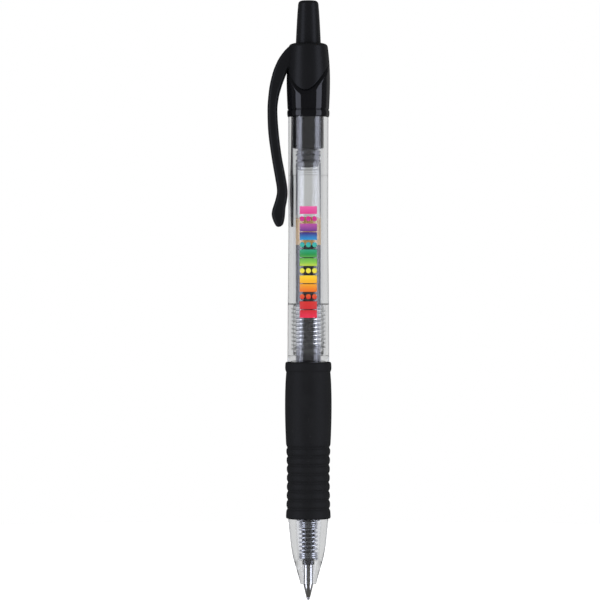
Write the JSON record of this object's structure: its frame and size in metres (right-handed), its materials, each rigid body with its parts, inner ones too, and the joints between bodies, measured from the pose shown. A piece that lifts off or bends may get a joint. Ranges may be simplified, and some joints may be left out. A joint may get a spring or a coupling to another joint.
{
  "type": "gel pen",
  "caption": "Retractable gel pen with a clear two-part barrel, ribbed rubber grip, side pocket clip, click button and a clear-tube refill.",
  "frame": {"origin": "on the pen's axis at the middle of the rubber grip, where the hand holds it", "axes": "+Z along the pen from the nib to the push button; the clip is towards -X; at rest the nib is out, in the writing position"},
  "size_m": [0.0152, 0.011, 0.1419],
  "materials": {
    "clear_barrel": "clear injection-moulded polycarbonate, polished",
    "grip_rubber": "matte black elastomer",
    "spring_steel": "bright drawn spring wire",
    "housing_black": "glossy black moulding",
    "trim_black": "fine matte black moulding",
    "mechanism_black": "plain black moulding",
    "refill_clear": "clear extruded polypropylene",
    "grease": "amber follower grease",
    "ink": "black gel ink",
    "holder": "smoke-clear moulding with ink in its channel",
    "tip_metal": "turned nickel silver",
    "ball_metal": "polished ball"
  },
  "bodies": {
    "front_section": {"front_barrel": "clear_barrel", "grip_sleeve": "grip_rubber", "return_spring": "spring_steel"},
    "rear_section": {"rear_barrel": "clear_barrel", "clip_housing": "housing_black", "clip_collar": "trim_black"},
    "pocket_clip": {"clip": "trim_black"},
    "button": {"push_button": "trim_black"},
    "rotor": {"cam_rotor": "mechanism_black"},
    "refill": {"refill_tube": "refill_clear", "refill_tail_plug": "refill_clear", "grease_follower": "grease", "ink_column": "ink", "tip_holder": "holder", "backflow_ball": "ball_metal", "tip_body": "tip_metal"},
    "writing_ball": {"tip_ball": "ball_metal"}
  },
  "joints": [
    {"name": "barrel_unscrew", "type": "slide", "parent": "front_section", "child": "rear_section", "axis": [0, 0, 1], "range_m": [0, 0.0125]},
    {"name": "button_press", "type": "slide", "parent": "rear_section", "child": "button", "axis": [0, 0, 1], "range_m": [-0.0012, 0.0045]},
    {"name": "rotor_turn", "type": "hinge", "parent": "button", "child": "rotor", "pos_m": [0, 0, 0.07215], "axis": [0, 0, 1], "range_deg": [-13, 46]},
    {"name": "refill_slide", "type": "slide", "parent": "front_section", "child": "refill", "axis": [0, 0, 1], "range_m": [-0.0012, 0.0045], "deforming": ["return_spring"]},
    {"name": "clip_flex", "type": "hinge", "parent": "rear_section", "child": "pocket_clip", "pos_m": [-0.0052, 0, 0.0923], "axis": [0, 1, 0], "range_deg": [0, 8], "stiffness_Nm_per_rad": 0.3},
    {"name": "ball_roll", "type": "hinge", "parent": "refill", "child": "writing_ball", "pos_m": [0, 0, -0.0375], "axis": [1, 0, 0], "continuous": true}
  ],
  "couplings": [
    {"joint": "refill_slide", "follows": "button_press", "ratio": 1},
    {"joint": "rotor_turn", "follows": "button_press", "rad_per_m": 174.5}
  ]
}
